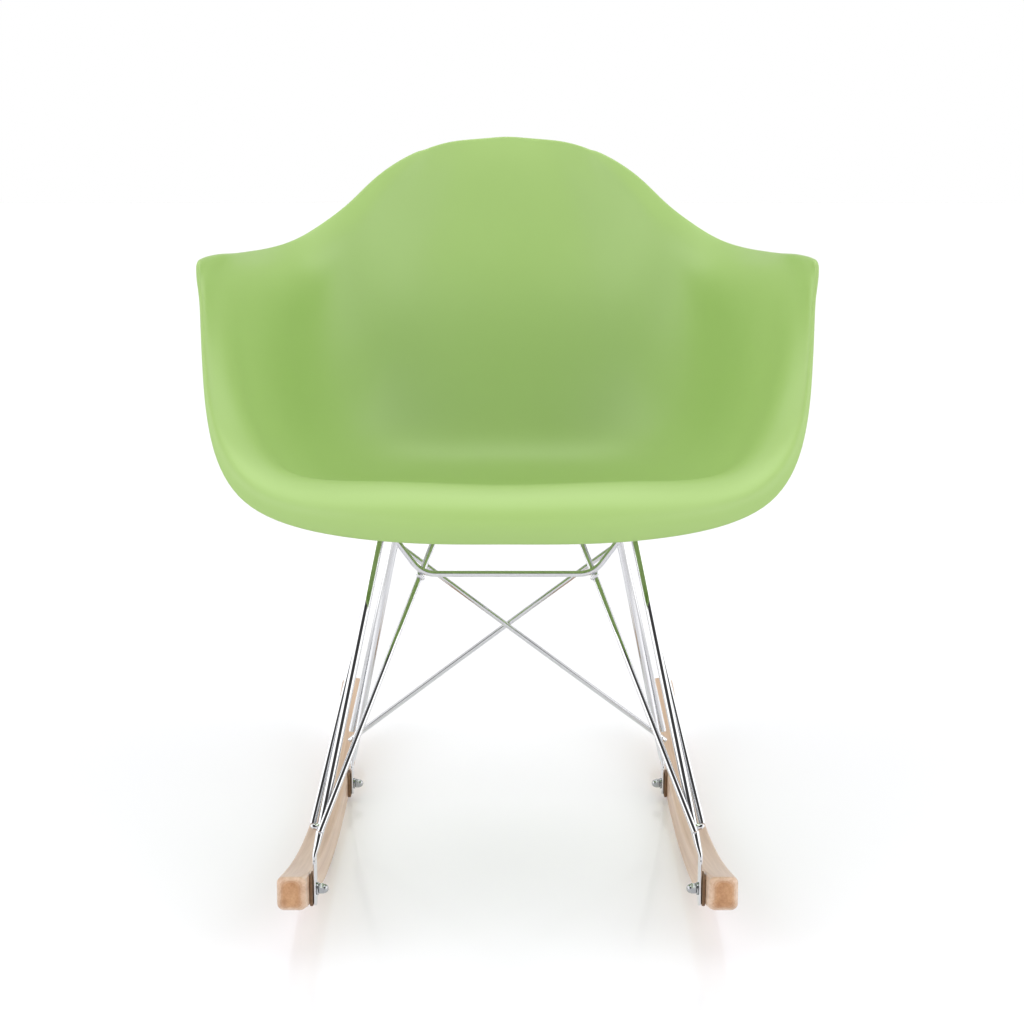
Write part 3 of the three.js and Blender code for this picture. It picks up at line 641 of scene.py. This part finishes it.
# ------------------------------------------------------------------ rod base
RAIL_DROP = STRUT_RADIUS + GAP
LEG_DROP = LEG_RADIUS + 1.2
FRONT_LEG_LOW, FRONT_LEG_HIGH = vec(185.6, -307, 121), vec(131.9, -150, 391)
REAR_LEG_LOW, REAR_LEG_HIGH = vec(188.4, 90.4, 60), vec(126, 100.7, 366)


def leg_top(place, low, high):
    top = high
    for _ in range(6):
        z = under_plate(place, top[0], top[1], LEG_DROP)
        top = along(low, high, (z - low[2]) / (high[2] - low[2]))
    return top


def blend_rows(rows, steps):
    """Fills in rows of numbers with a shape-keeping cubic, so that nothing overshoots."""
    rows = np.asarray(rows, float)
    step = np.diff(rows, axis=0)
    slope = np.zeros_like(rows)
    same = step[:-1] * step[1:] > 0
    total = np.where(same, step[:-1] + step[1:], 1)
    slope[1:-1] = np.where(same, 2 * step[:-1] * step[1:] / total, 0)
    slope[0], slope[-1] = step[0], step[-1]
    out = []
    for i in range(len(rows) - 1):
        for j in range(steps):
            t = j / steps
            out.append(rows[i] * (2 * t ** 3 - 3 * t ** 2 + 1) + slope[i] * (t ** 3 - 2 * t * t + t)
                       + rows[i + 1] * (3 * t * t - 2 * t ** 3) + slope[i + 1] * (t ** 3 - t * t))
    out.append(rows[-1])
    return np.array(out)


def leg(top, low, bolt, tab_top, tab_bottom):
    """A leg: round rod that bends into a flat upright tab lying against the rocker."""
    bolt_y = bolt[0]
    run = unit(low - top)
    sideways = unit(vec(0, 1, 0) - run * run[1])
    across = np.cross(run, sideways)
    sign = np.sign(across[0])
    half = TAB_WIDTH / 2
    neck = along(low, vec(TAB_X, bolt_y, tab_top), 0.55)
    # centre, half-axis across the tab, half-axis along it, squareness of the corners
    sections = [
        (*low, *(across * LEG_RADIUS), *(sideways * LEG_RADIUS), 2.0),
        (*neck, sign * 3.4, 0, 0, 0, 5.2, 0, 2.2),
        (TAB_X, bolt_y, tab_top, sign * 2.1, 0, 0, 0, 6.6, 0, 2.8),
        (TAB_X, bolt_y, tab_top - 7, sign * TAB_THICKNESS / 2, 0, 0, 0, half, 0, 5.0),
        (TAB_X, bolt_y, tab_bottom + TAB_CORNER, sign * TAB_THICKNESS / 2, 0, 0, 0, half, 0,
         5.0),
    ]
    rows = blend_rows(sections, 6)
    rings = []
    for turn in (84, 60, 30):
        r = LEG_RADIUS * math.cos(math.radians(turn))
        back = 1.5 * (1 - math.sin(math.radians(turn)))
        rings.append(ring_at(top + run * back, across * r, sideways * r, 32))
    for t in (0.02, 0.5, 0.97):
        rings.append(ring_at(along(top, low, t), across * LEG_RADIUS, sideways * LEG_RADIUS, 32))
    for row in rows:
        rings.append(ring_at(row[:3], row[3:6], row[6:9], 32, row[9]))
    for turn in (20, 40, 60, 75, 88):
        angle = math.radians(turn)
        width = half - TAB_CORNER * (1 - math.cos(angle))
        rings.append(ring_at(vec(TAB_X, bolt_y, tab_bottom + TAB_CORNER * (1 - math.sin(angle))),
                             vec(sign * TAB_THICKNESS / 2, 0, 0), vec(0, width, 0), 32, 5.0))
    return skin(rings)


FRONT_LEG_TOP = leg_top("front", FRONT_LEG_LOW, FRONT_LEG_HIGH)
REAR_LEG_TOP = leg_top("rear", REAR_LEG_LOW, REAR_LEG_HIGH)
make_pair("front_leg", *leg(FRONT_LEG_TOP, FRONT_LEG_LOW, BOLTS["front"], 98, 47),
          CHROME, "base_chrome")
make_pair("rear_leg", *leg(REAR_LEG_TOP, REAR_LEG_LOW, BOLTS["rear"], 46, 8),
          CHROME, "base_chrome")


def rounded_path(corners, radius, steps=10):
    path = [corners[0]]
    for before, here, after in zip(corners, corners[1:], corners[2:]):
        p = here + unit(before - here) * radius
        q = here + unit(after - here) * radius
        for i in range(steps + 1):
            t = i / steps
            path.append(p * (1 - t) ** 2 + here * 2 * t * (1 - t) + q * t * t)
    path.append(corners[-1])
    return path


# Cross bar under the front of the seat.
bar_level, bar_end = vec(91, -150, 343.5), vec(121.5, -149.5, 386)
flip_x = vec(-1, 1, 1)
bar = rounded_path([bar_end * flip_x, bar_level * flip_x, bar_level, bar_end], 16)
bar = [bar[0], along(bar[0], bar[1], 0.1), *bar[1:-1], along(bar[-2], bar[-1], 0.9), bar[-1]]
make_piece("front_cross_bar_fine", *rod(bar, STRUT_RADIUS), CHROME, "base_chrome",
           ["front_cross_bar"], sharp=50)

# Top rails, just under the mounting plates.
FRONT_RAIL_Y, REAR_RAIL_Y = -106.0, 124.0
front_rail_end = vec(121, FRONT_RAIL_Y, under_plate("front", 100, FRONT_RAIL_Y, RAIL_DROP))
rear_rail_end = vec(114, REAR_RAIL_Y, under_plate("rear", 90, REAR_RAIL_Y, RAIL_DROP))
for name, end in (("front_rail", front_rail_end), ("rear_rail", rear_rail_end)):
    make_piece(f"{name}_fine", *rod([end * flip_x, end], STRUT_RADIUS), CHROME,
               "base_chrome", [name], sharp=50)
side_rail = [
    vec(112, FRONT_RAIL_Y + 2 * STRUT_RADIUS + GAP, front_rail_end[2] - 1),
    vec(101, 86, under_plate("rear", 101, 86, RAIL_DROP + 0.6)),
]
make_pair("side_rail", *rod(side_rail, STRUT_RADIUS), CHROME, "base_chrome", sharp=50)

# Struts from the foot of each front leg, crossing in front of the leg.
strut_bar = vec(92.6, -142.9, 339.7)
CROSSING_Z = 139.0
leg_crossing = along(FRONT_LEG_LOW, FRONT_LEG_HIGH, (CROSSING_Z - FRONT_LEG_LOW[2])
                     / (FRONT_LEG_HIGH[2] - FRONT_LEG_LOW[2]))
leg_run = unit(FRONT_LEG_HIGH - FRONT_LEG_LOW)
strut_crossing = leg_crossing
for _ in range(4):
    forward = unit(np.cross(unit(strut_bar - strut_crossing), leg_run))
    forward *= -np.sign(forward[1])
    strut_crossing = leg_crossing + forward * (LEG_RADIUS + STRUT_RADIUS + GAP)
strut_rise = strut_bar[2] - strut_crossing[2]
strut_foot = along(strut_crossing, strut_bar, -20 / strut_rise)
strut_top = along(strut_crossing, strut_bar,
                  (front_rail_end[2] - 7 - strut_crossing[2]) / strut_rise)
make_pair("front_strut", *rod([strut_foot, strut_top], STRUT_RADIUS), CHROME, "base_chrome",
          sharp=50)

front_side_foot = vec(193.8, -304.4, 124.5)
front_side_top = vec(130, -112, under_plate("front", 130, -112, RAIL_DROP + 2))
make_pair("front_side_strut", *rod([front_side_foot, front_side_top], STRUT_RADIUS),
          CHROME, "base_chrome", sharp=50)
rear_side_foot = vec(191.4, 92.5, 86)
rear_side_top = vec(122.5, 126, under_plate("rear", 122, 112, RAIL_DROP + 2))
make_pair("rear_side_strut", *rod([rear_side_foot, rear_side_top], STRUT_RADIUS),
          CHROME, "base_chrome", sharp=50)


def weld(centre, stretch, radius=WELD_RADIUS):
    """A small lumpy bead where rods are welded together."""
    centre, stretch = np.asarray(centre, float), np.asarray(stretch, float)
    rows, sides = 14, 20
    points, faces = [], []
    for r in range(rows + 1):
        polar = math.pi * r / rows
        for s in range(sides if 0 < r < rows else 1):
            round_about = 2 * math.pi * s / sides
            ray = vec(math.sin(polar) * math.cos(round_about),
                      math.sin(polar) * math.sin(round_about), math.cos(polar))
            wave = math.sin(5 * ray[0] + 3) * math.cos(6 * ray[2] + ray[1] * 4)
            lump = 1 + WELD_LUMP * wave
            points.append(centre + ray * radius * lump + stretch * (ray @ unit(stretch)))
    last = len(points) - 1
    ring = [1 + (r - 1) * sides for r in range(1, rows)]
    for s in range(sides):
        t = (s + 1) % sides
        faces.append((0, ring[0] + s, ring[0] + t))
        faces.append((last, ring[-1] + t, ring[-1] + s))
        for a, b in zip(ring, ring[1:]):
            faces.append((a + s, b + s, b + t, a + t))
    return np.array(points), faces


# Each weld's centre, and how far it is drawn out along the joint.
WELDS = {
    "foot": (along(front_side_foot, strut_foot, 0.5) + vec(0, 2, 1), vec(2.6, 0, 0.8)),
    "bar": (strut_bar + vec(-0.5, -3.4, 1.0), vec(1.6, 0, 1.8)),
    "brace_foot": (vec(190.5, 97.5, 75), vec(1.4, 0.4, -1.0)),
    "leg_top": (FRONT_LEG_TOP + vec(-4.0, 2.0, -5.0), vec(1.0, 1.0, 1.6)),
    "rear_leg_top": (REAR_LEG_TOP + vec(-4.0, 3.0, -5.0), vec(1.0, 1.0, 1.6)),
}
for name, (centre, stretch) in WELDS.items():
    right = weld(centre, stretch)
    for side, bead in (("right", right), ("left", mirrored(*right))):
        make_piece(f"weld_{name}_{side}", *bead, CHROME, "base_chrome", sharp=60)

# The two diagonal braces behind the rear legs bow apart a little where they cross.
for side, sign in SIDES.items():
    bow = -sign * (STRUT_RADIUS + GAP)
    t = np.linspace(0, 1, 33)[:, None]
    foot, top = vec(sign * 195, 98.8, 72), vec(sign * -138, 108.6, 322)
    path = foot + (top - foot) * t + vec(0, 1, 0) * bow * 4 * t * (1 - t)
    make_piece(f"rear_brace_{side}_fine", *rod(path, STRUT_RADIUS), CHROME, "base_chrome",
               [f"rear_brace_{side}"], sharp=50)


# ------------------------------------------------------------------ rockers
def rocker():
    """A bent bar of rounded-rectangle section whose ends are rounded in plan."""
    flat_drop = ROCKER_RADIUS - math.sqrt(ROCKER_RADIUS ** 2 - (CONTACT_FLAT / 2) ** 2)
    top_radius = ROCKER_RADIUS - ROCKER_HEIGHT
    plan_corner, end_corner = ROCKER_PLAN_CORNER, ROCKER_END_CORNER
    half = ROCKER_THICKNESS / 2
    length = ROCKER_FRONT + ROCKER_REAR
    near_end = plan_corner * (1 - np.cos(np.linspace(0, math.pi / 2, 8)))
    stations = np.concatenate([near_end, np.linspace(plan_corner, length - plan_corner, 97)[1:-1],
                               length - near_end[::-1]])
    rings = []
    for s in stations:
        inset = min(s, length - s)
        width = half
        if inset < plan_corner:
            width -= plan_corner - math.sqrt(plan_corner ** 2 - (plan_corner - inset) ** 2)
        edge = ROCKER_EDGE + ROCKER_EDGE_GAIN * math.exp(-inset / ROCKER_EDGE_REACH)
        edge = min(edge, width - 0.5)
        lift = 0.0
        if inset < end_corner:
            lift = end_corner - math.sqrt(end_corner ** 2 - (end_corner - inset) ** 2)
        y_low = -ROCKER_FRONT + s
        y_high = -ROCKER_FRONT + 2 + s * (length - 4) / length
        low = vec(0, y_low, max(0.0, ROCKER_RADIUS - math.sqrt(ROCKER_RADIUS ** 2 - y_low ** 2)
                                - flat_drop))
        high = vec(0, y_high, ROCKER_RADIUS - math.sqrt(top_radius ** 2 - y_high ** 2)
                   - flat_drop)
        up = unit(high - low)
        low, high = low + up * lift, high - up * lift
        tall = np.linalg.norm(high - low)
        ring = []
        for corner, (cx, ch) in enumerate([(1, 1), (-1, 1), (-1, -1), (1, -1)]):
            for step in range(6):
                turn = math.radians(90 * corner + 90 * step / 5)
                x = cx * (width - edge) + edge * math.cos(turn)
                h = tall / 2 + ch * (tall / 2 - edge) + edge * math.sin(turn)
                ring.append(low + up * h + vec(ROCKER_INNER_X + half + x, 0, 0))
        rings.append(ring)
    return skin(rings)


def bore(piece, sign):
    """Cuts the bolt holes and counterbores through a rocker, and evens its shading with weighted
    normals.
    """
    tools = []
    for y, z in BOLTS.values():
        start = vec(ROCKER_INNER_X, y, z)
        for radius, low in ((BOLT_HOLE_RADIUS, -3.0),
                            (COUNTERBORE_RADIUS, ROCKER_THICKNESS - COUNTERBORE_DEPTH)):
            p, f = turned([(radius, low), (radius, ROCKER_THICKNESS + 4.0)], start, vec(1, 0, 0))
            if sign < 0:
                p, f = mirrored(p, f)
            mesh = bpy.data.meshes.new("bore")
            mesh.from_pydata(((p + vec(0, ORIGIN_SHIFT, 0)) * MM).tolist(), [], f)
            tool = bpy.data.objects.new("bore", mesh)
            scene.collection.objects.link(tool)
            tools.append(tool)
    for tool in tools:
        cut = piece.modifiers.new("bore", "BOOLEAN")
        cut.operation = "DIFFERENCE"
        cut.solver = "EXACT"
        cut.object = tool
    depsgraph = bpy.context.evaluated_depsgraph_get()
    mesh = bpy.data.meshes.new_from_object(piece.evaluated_get(depsgraph))
    piece.modifiers.clear()
    piece.data = mesh
    for tool in tools:
        bpy.data.objects.remove(tool)
    mesh.polygons.foreach_set("use_smooth", [True] * len(mesh.polygons))
    mesh.set_sharp_from_angle(angle=math.radians(30))
    weighted = piece.modifiers.new("even_normals", "WEIGHTED_NORMAL")
    weighted.keep_sharp = True


for piece, sign in zip(make_pair("rocker", *rocker(), WOOD, "rocker_wood", sharp=30), (1, -1)):
    bore(piece, sign)


# ------------------------------------------------------------------ pads and fasteners
def slab(outline, x_low, x_high, edge=0.4):
    """A flat pad: (y, z) outline between two X planes, with eased edges."""
    outline = np.asarray(outline, float)
    middle = outline.mean(axis=0)
    rings = []
    for x, shrink in ((x_low, edge), (x_low + edge, 0), (x_high - edge, 0), (x_high, edge)):
        reach = np.linalg.norm(outline - middle, axis=1, keepdims=True)
        ring = middle + (outline - middle) * (1 - shrink / reach)
        rings.append(np.column_stack([np.full(len(ring), x), ring]))
    return skin(rings)


def rounded_box(y, z, width, height, corner, steps=6):
    outline = []
    for turn, (cy, cz) in enumerate([(1, 1), (-1, 1), (-1, -1), (1, -1)]):
        for i in range(steps + 1):
            angle = math.radians(90 * turn + 90 * i / steps)
            outline.append((y + cy * (width / 2 - corner) + corner * math.cos(angle),
                            z + cz * (height / 2 - corner) + corner * math.sin(angle)))
    return outline


INWARD, OUTWARD = vec(-1, 0, 0), vec(1, 0, 0)
NUT_START = 2 * GAP + WASHER_THICKNESS
for place, (y, z) in BOLTS.items():
    pad = slab(rounded_box(y, z, 24, 31, 6), ROCKER_INNER_X - GAP - PAD_THICKNESS,
               ROCKER_INNER_X - GAP)
    make_pair(f"tab_pad_{place}", *pad, FIBRE, "pad_fibre")

    face = vec(TAB_X - TAB_THICKNESS / 2, y, z)
    washer = rounded_profile([(0, 0.05), (6.4, 0.05), (6.4, GAP + WASHER_THICKNESS),
                              (0, GAP + WASHER_THICKNESS)], 0.3)
    make_pair(f"washer_{place}", *turned(washer, face, INWARD), ZINC, "fastener_zinc")

    # domed nut: a hexagon whose corners are turned down, then a round cap
    a, b = frame_across(INWARD)
    rings = []
    for height, reach in ((0.0, 5.2), (0.5, 5.75), (4.3, 5.75), (4.9, 5.3)):
        corners = [face + INWARD * (NUT_START + height)
                   + (a * math.cos(k * math.pi / 3) + b * math.sin(k * math.pi / 3)) * reach
                   for k in range(6)]
        rings.append([along(corners[k], corners[(k + 1) % 6], j / 6)
                      for k in range(6) for j in range(6)])
    angles = np.arange(36) / 36 * 2 * math.pi
    circle = np.outer(np.cos(angles), a) + np.outer(np.sin(angles), b)
    for height, reach in ((4.95, 4.7), (5.9, 4.6), (7.1, 4.15), (8.2, 3.3), (9.0, 2.1),
                          (9.4, 0.9)):
        rings.append(face + INWARD * (NUT_START + height) + circle * reach)
    make_pair(f"dome_nut_{place}", *skin(rings), ZINC, "fastener_zinc")

    seat_x = ROCKER_INNER_X + ROCKER_THICKNESS - COUNTERBORE_DEPTH + GAP
    bolt = rounded_profile([
        (0, -20), (BOLT_RADIUS, -20), (BOLT_RADIUS, 0), (6.6, 0), (6.6, 1.8), (4.8, 3.4),
        (2.4, 3.5), (2.2, 1.4), (0, 1.4)], 0.3)
    make_pair(f"rocker_bolt_{place}", *turned(bolt, vec(seat_x, y, z), OUTWARD), ZINC,
              "fastener_zinc")

# ------------------------------------------------------------------ floor, light, camera
FLOOR_WHITE, FLOOR_GLOW, FLOOR_ROUGHNESS = (0.84, 0.835, 0.87), 0.13, 0.12
FLOOR_REACH = 30.0
floor_mesh = bpy.data.meshes.new("floor")
floor_corners = [(x * FLOOR_REACH, y * FLOOR_REACH, 0)
                 for x, y in ((-1, -1), (1, -1), (1, 1), (-1, 1))]
floor_mesh.from_pydata(floor_corners, [], [(0, 1, 2, 3)])
floor = bpy.data.objects.new("floor", floor_mesh)
scene.collection.objects.link(floor)
floor_material, _, _, floor_shader = new_material("floor")
floor_shader.inputs["Base Color"].default_value = (*FLOOR_WHITE, 1)
floor_shader.inputs["Emission Color"].default_value = (1, 1, 1, 1)
floor_shader.inputs["Emission Strength"].default_value = FLOOR_GLOW
floor_shader.inputs["Roughness"].default_value = FLOOR_ROUGHNESS
floor_shader.inputs["Specular IOR Level"].default_value = 0.5
floor_mesh.materials.append(floor_material)


# Soft light. Places in the world are parts of a unit direction; angles are in degrees.
WALL_LIGHT, OVERHEAD, SIDE = 0.67, 0.80, 1.90
PANEL_BLUR_ANGLE, PANEL_BLUR_HEIGHT = 8, 0.05
OPENING = ((0, -1, 0), 36, 0.0, 0.93)
PANELS = [
    # direction, half-width, lowest and highest z of the direction, strength
    ((0.77, -0.64, 0), 34.0, 0.05, 0.75, SIDE),
    ((-0.77, -0.64, 0), 34.0, 0.05, 0.75, SIDE),
]
CEILING_EDGE = (0.80, 0.92)

# What mirrors see. Each pair is where a part of the room starts and where it is full.
MIRROR_WALL, MIRROR_BOX, MIRROR_CEILING, MIRROR_GAP = 0.80, 1.3, 2.0, 0.06
GAP_SIDE, GAP_BACK, GAP_BOTTOM = (0.72, 0.50), (-0.05, -0.45), (0.28, 0.42)
BOX_SIDE, BOX_BOTTOM, BOX_TOP = (0.66, 0.80), (0.02, 0.12), (0.75, 0.60)


def studio_world():
    """A white studio: even walls, brighter panels, and a dark opening in the front wall."""
    world = bpy.data.worlds.new("studio")
    scene.world = world
    world.use_nodes = True
    nodes, links = world.node_tree.nodes, world.node_tree.links
    background = nodes["Background"]
    place = nodes.new("ShaderNodeTexCoord")
    split = nodes.new("ShaderNodeSeparateXYZ")
    links.new(place.outputs["Generated"], split.inputs[0])
    height = split.outputs[2]
    flat = nodes.new("ShaderNodeCombineXYZ")
    links.new(split.outputs[0], flat.inputs[0])
    links.new(split.outputs[1], flat.inputs[1])
    level = add_node(nodes, "ShaderNodeVectorMath", operation="NORMALIZE")
    links.new(flat.outputs[0], level.inputs[0])

    def ramp(value, low, high):
        node = nodes.new("ShaderNodeMapRange")
        node.interpolation_type = "SMOOTHSTEP"
        node.inputs["From Min"].default_value = low
        node.inputs["From Max"].default_value = high
        links.new(value, node.inputs["Value"])
        return node.outputs["Result"]

    def combine(operation, a, b):
        node = add_node(nodes, "ShaderNodeMath", operation=operation)
        for socket, value in zip(node.inputs, (a, b)):
            if isinstance(value, float):
                socket.default_value = value
            else:
                links.new(value, socket)
        return node.outputs[0]

    def panel(direction, azimuth, bottom, top):
        """1 inside a panel: azimuth either side of a level direction, heights as z."""
        toward = add_node(nodes, "ShaderNodeVectorMath", operation="DOT_PRODUCT")
        toward.inputs[1].default_value = direction
        links.new(level.outputs[0], toward.inputs[0])
        outer = math.cos(math.radians(azimuth + PANEL_BLUR_ANGLE))
        inner = math.cos(math.radians(azimuth - PANEL_BLUR_ANGLE))
        across = ramp(toward.outputs["Value"], outer, inner)
        blur = PANEL_BLUR_HEIGHT
        upright = combine("MULTIPLY", ramp(height, bottom - blur, bottom + blur),
                          ramp(height, top + blur, top - blur))
        return combine("MULTIPLY", across, upright)

    soft = combine("MULTIPLY", combine("SUBTRACT", 1.0, panel(*OPENING)), WALL_LIGHT)
    ceiling = ramp(height, *CEILING_EDGE)
    soft = combine("ADD", soft, combine("MULTIPLY", ceiling, OVERHEAD))
    for *place_of_panel, strength in PANELS:
        soft = combine("ADD", soft, combine("MULTIPLY", panel(*place_of_panel), strength))

    # Mirrors see a plainer room: grey walls, two side boxes, and a dark gap that runs from
    # the front wall up over the ceiling.
    sideways = combine("ABSOLUTE", split.outputs[0], 0.0)
    gap = combine("MULTIPLY", ramp(sideways, *GAP_SIDE), ramp(split.outputs[1], *GAP_BACK))
    gap = combine("MULTIPLY", gap, ramp(height, *GAP_BOTTOM))
    box_height = combine("MULTIPLY", ramp(height, *BOX_BOTTOM), ramp(height, *BOX_TOP))
    boxes = combine("MULTIPLY", ramp(sideways, *BOX_SIDE), box_height)
    room = combine("ADD", MIRROR_WALL, combine("MULTIPLY", boxes, MIRROR_BOX))
    room = combine("ADD", room, combine("MULTIPLY", ceiling, MIRROR_CEILING))
    room = combine("MULTIPLY", room, combine("SUBTRACT", 1.0, gap))
    room = combine("ADD", room, MIRROR_GAP)

    # The camera sees plain white, mirrors see the room, and everything else the soft light.
    seen = nodes.new("ShaderNodeLightPath")
    glossy = seen.outputs["Is Glossy Ray"]
    mirrored_part = combine("MULTIPLY", room, glossy)
    soft_part = combine("MULTIPLY", soft, combine("SUBTRACT", 1.0, glossy))
    total = combine("ADD", mirrored_part, soft_part)
    total = combine("MAXIMUM", total, seen.outputs["Is Camera Ray"])
    links.new(total, background.inputs["Strength"])
    background.inputs["Color"].default_value = (1, 1, 1, 1)


studio_world()

# The camera stands in front of the chair, at its middle, and looks down a little.
CAMERA_DISTANCE, CAMERA_HEIGHT = 1.9223, 0.77207
CAMERA_TILT = 11.54
CAMERA_LENS, CAMERA_SHIFT = 60.62, 0.0044
camera_data = bpy.data.cameras.new("camera")
camera_data.lens = CAMERA_LENS
camera_data.sensor_width = 36.0
camera_data.shift_x = CAMERA_SHIFT
camera_data.clip_end = 200.0
camera = bpy.data.objects.new("camera", camera_data)
camera.location = (0.0, -CAMERA_DISTANCE + ORIGIN_SHIFT * MM, CAMERA_HEIGHT)
camera.rotation_euler = (math.radians(90 - CAMERA_TILT), 0, 0)
scene.collection.objects.link(camera)
scene.camera = camera

scene.view_settings.view_transform = "Standard"
scene.view_settings.look = "None"
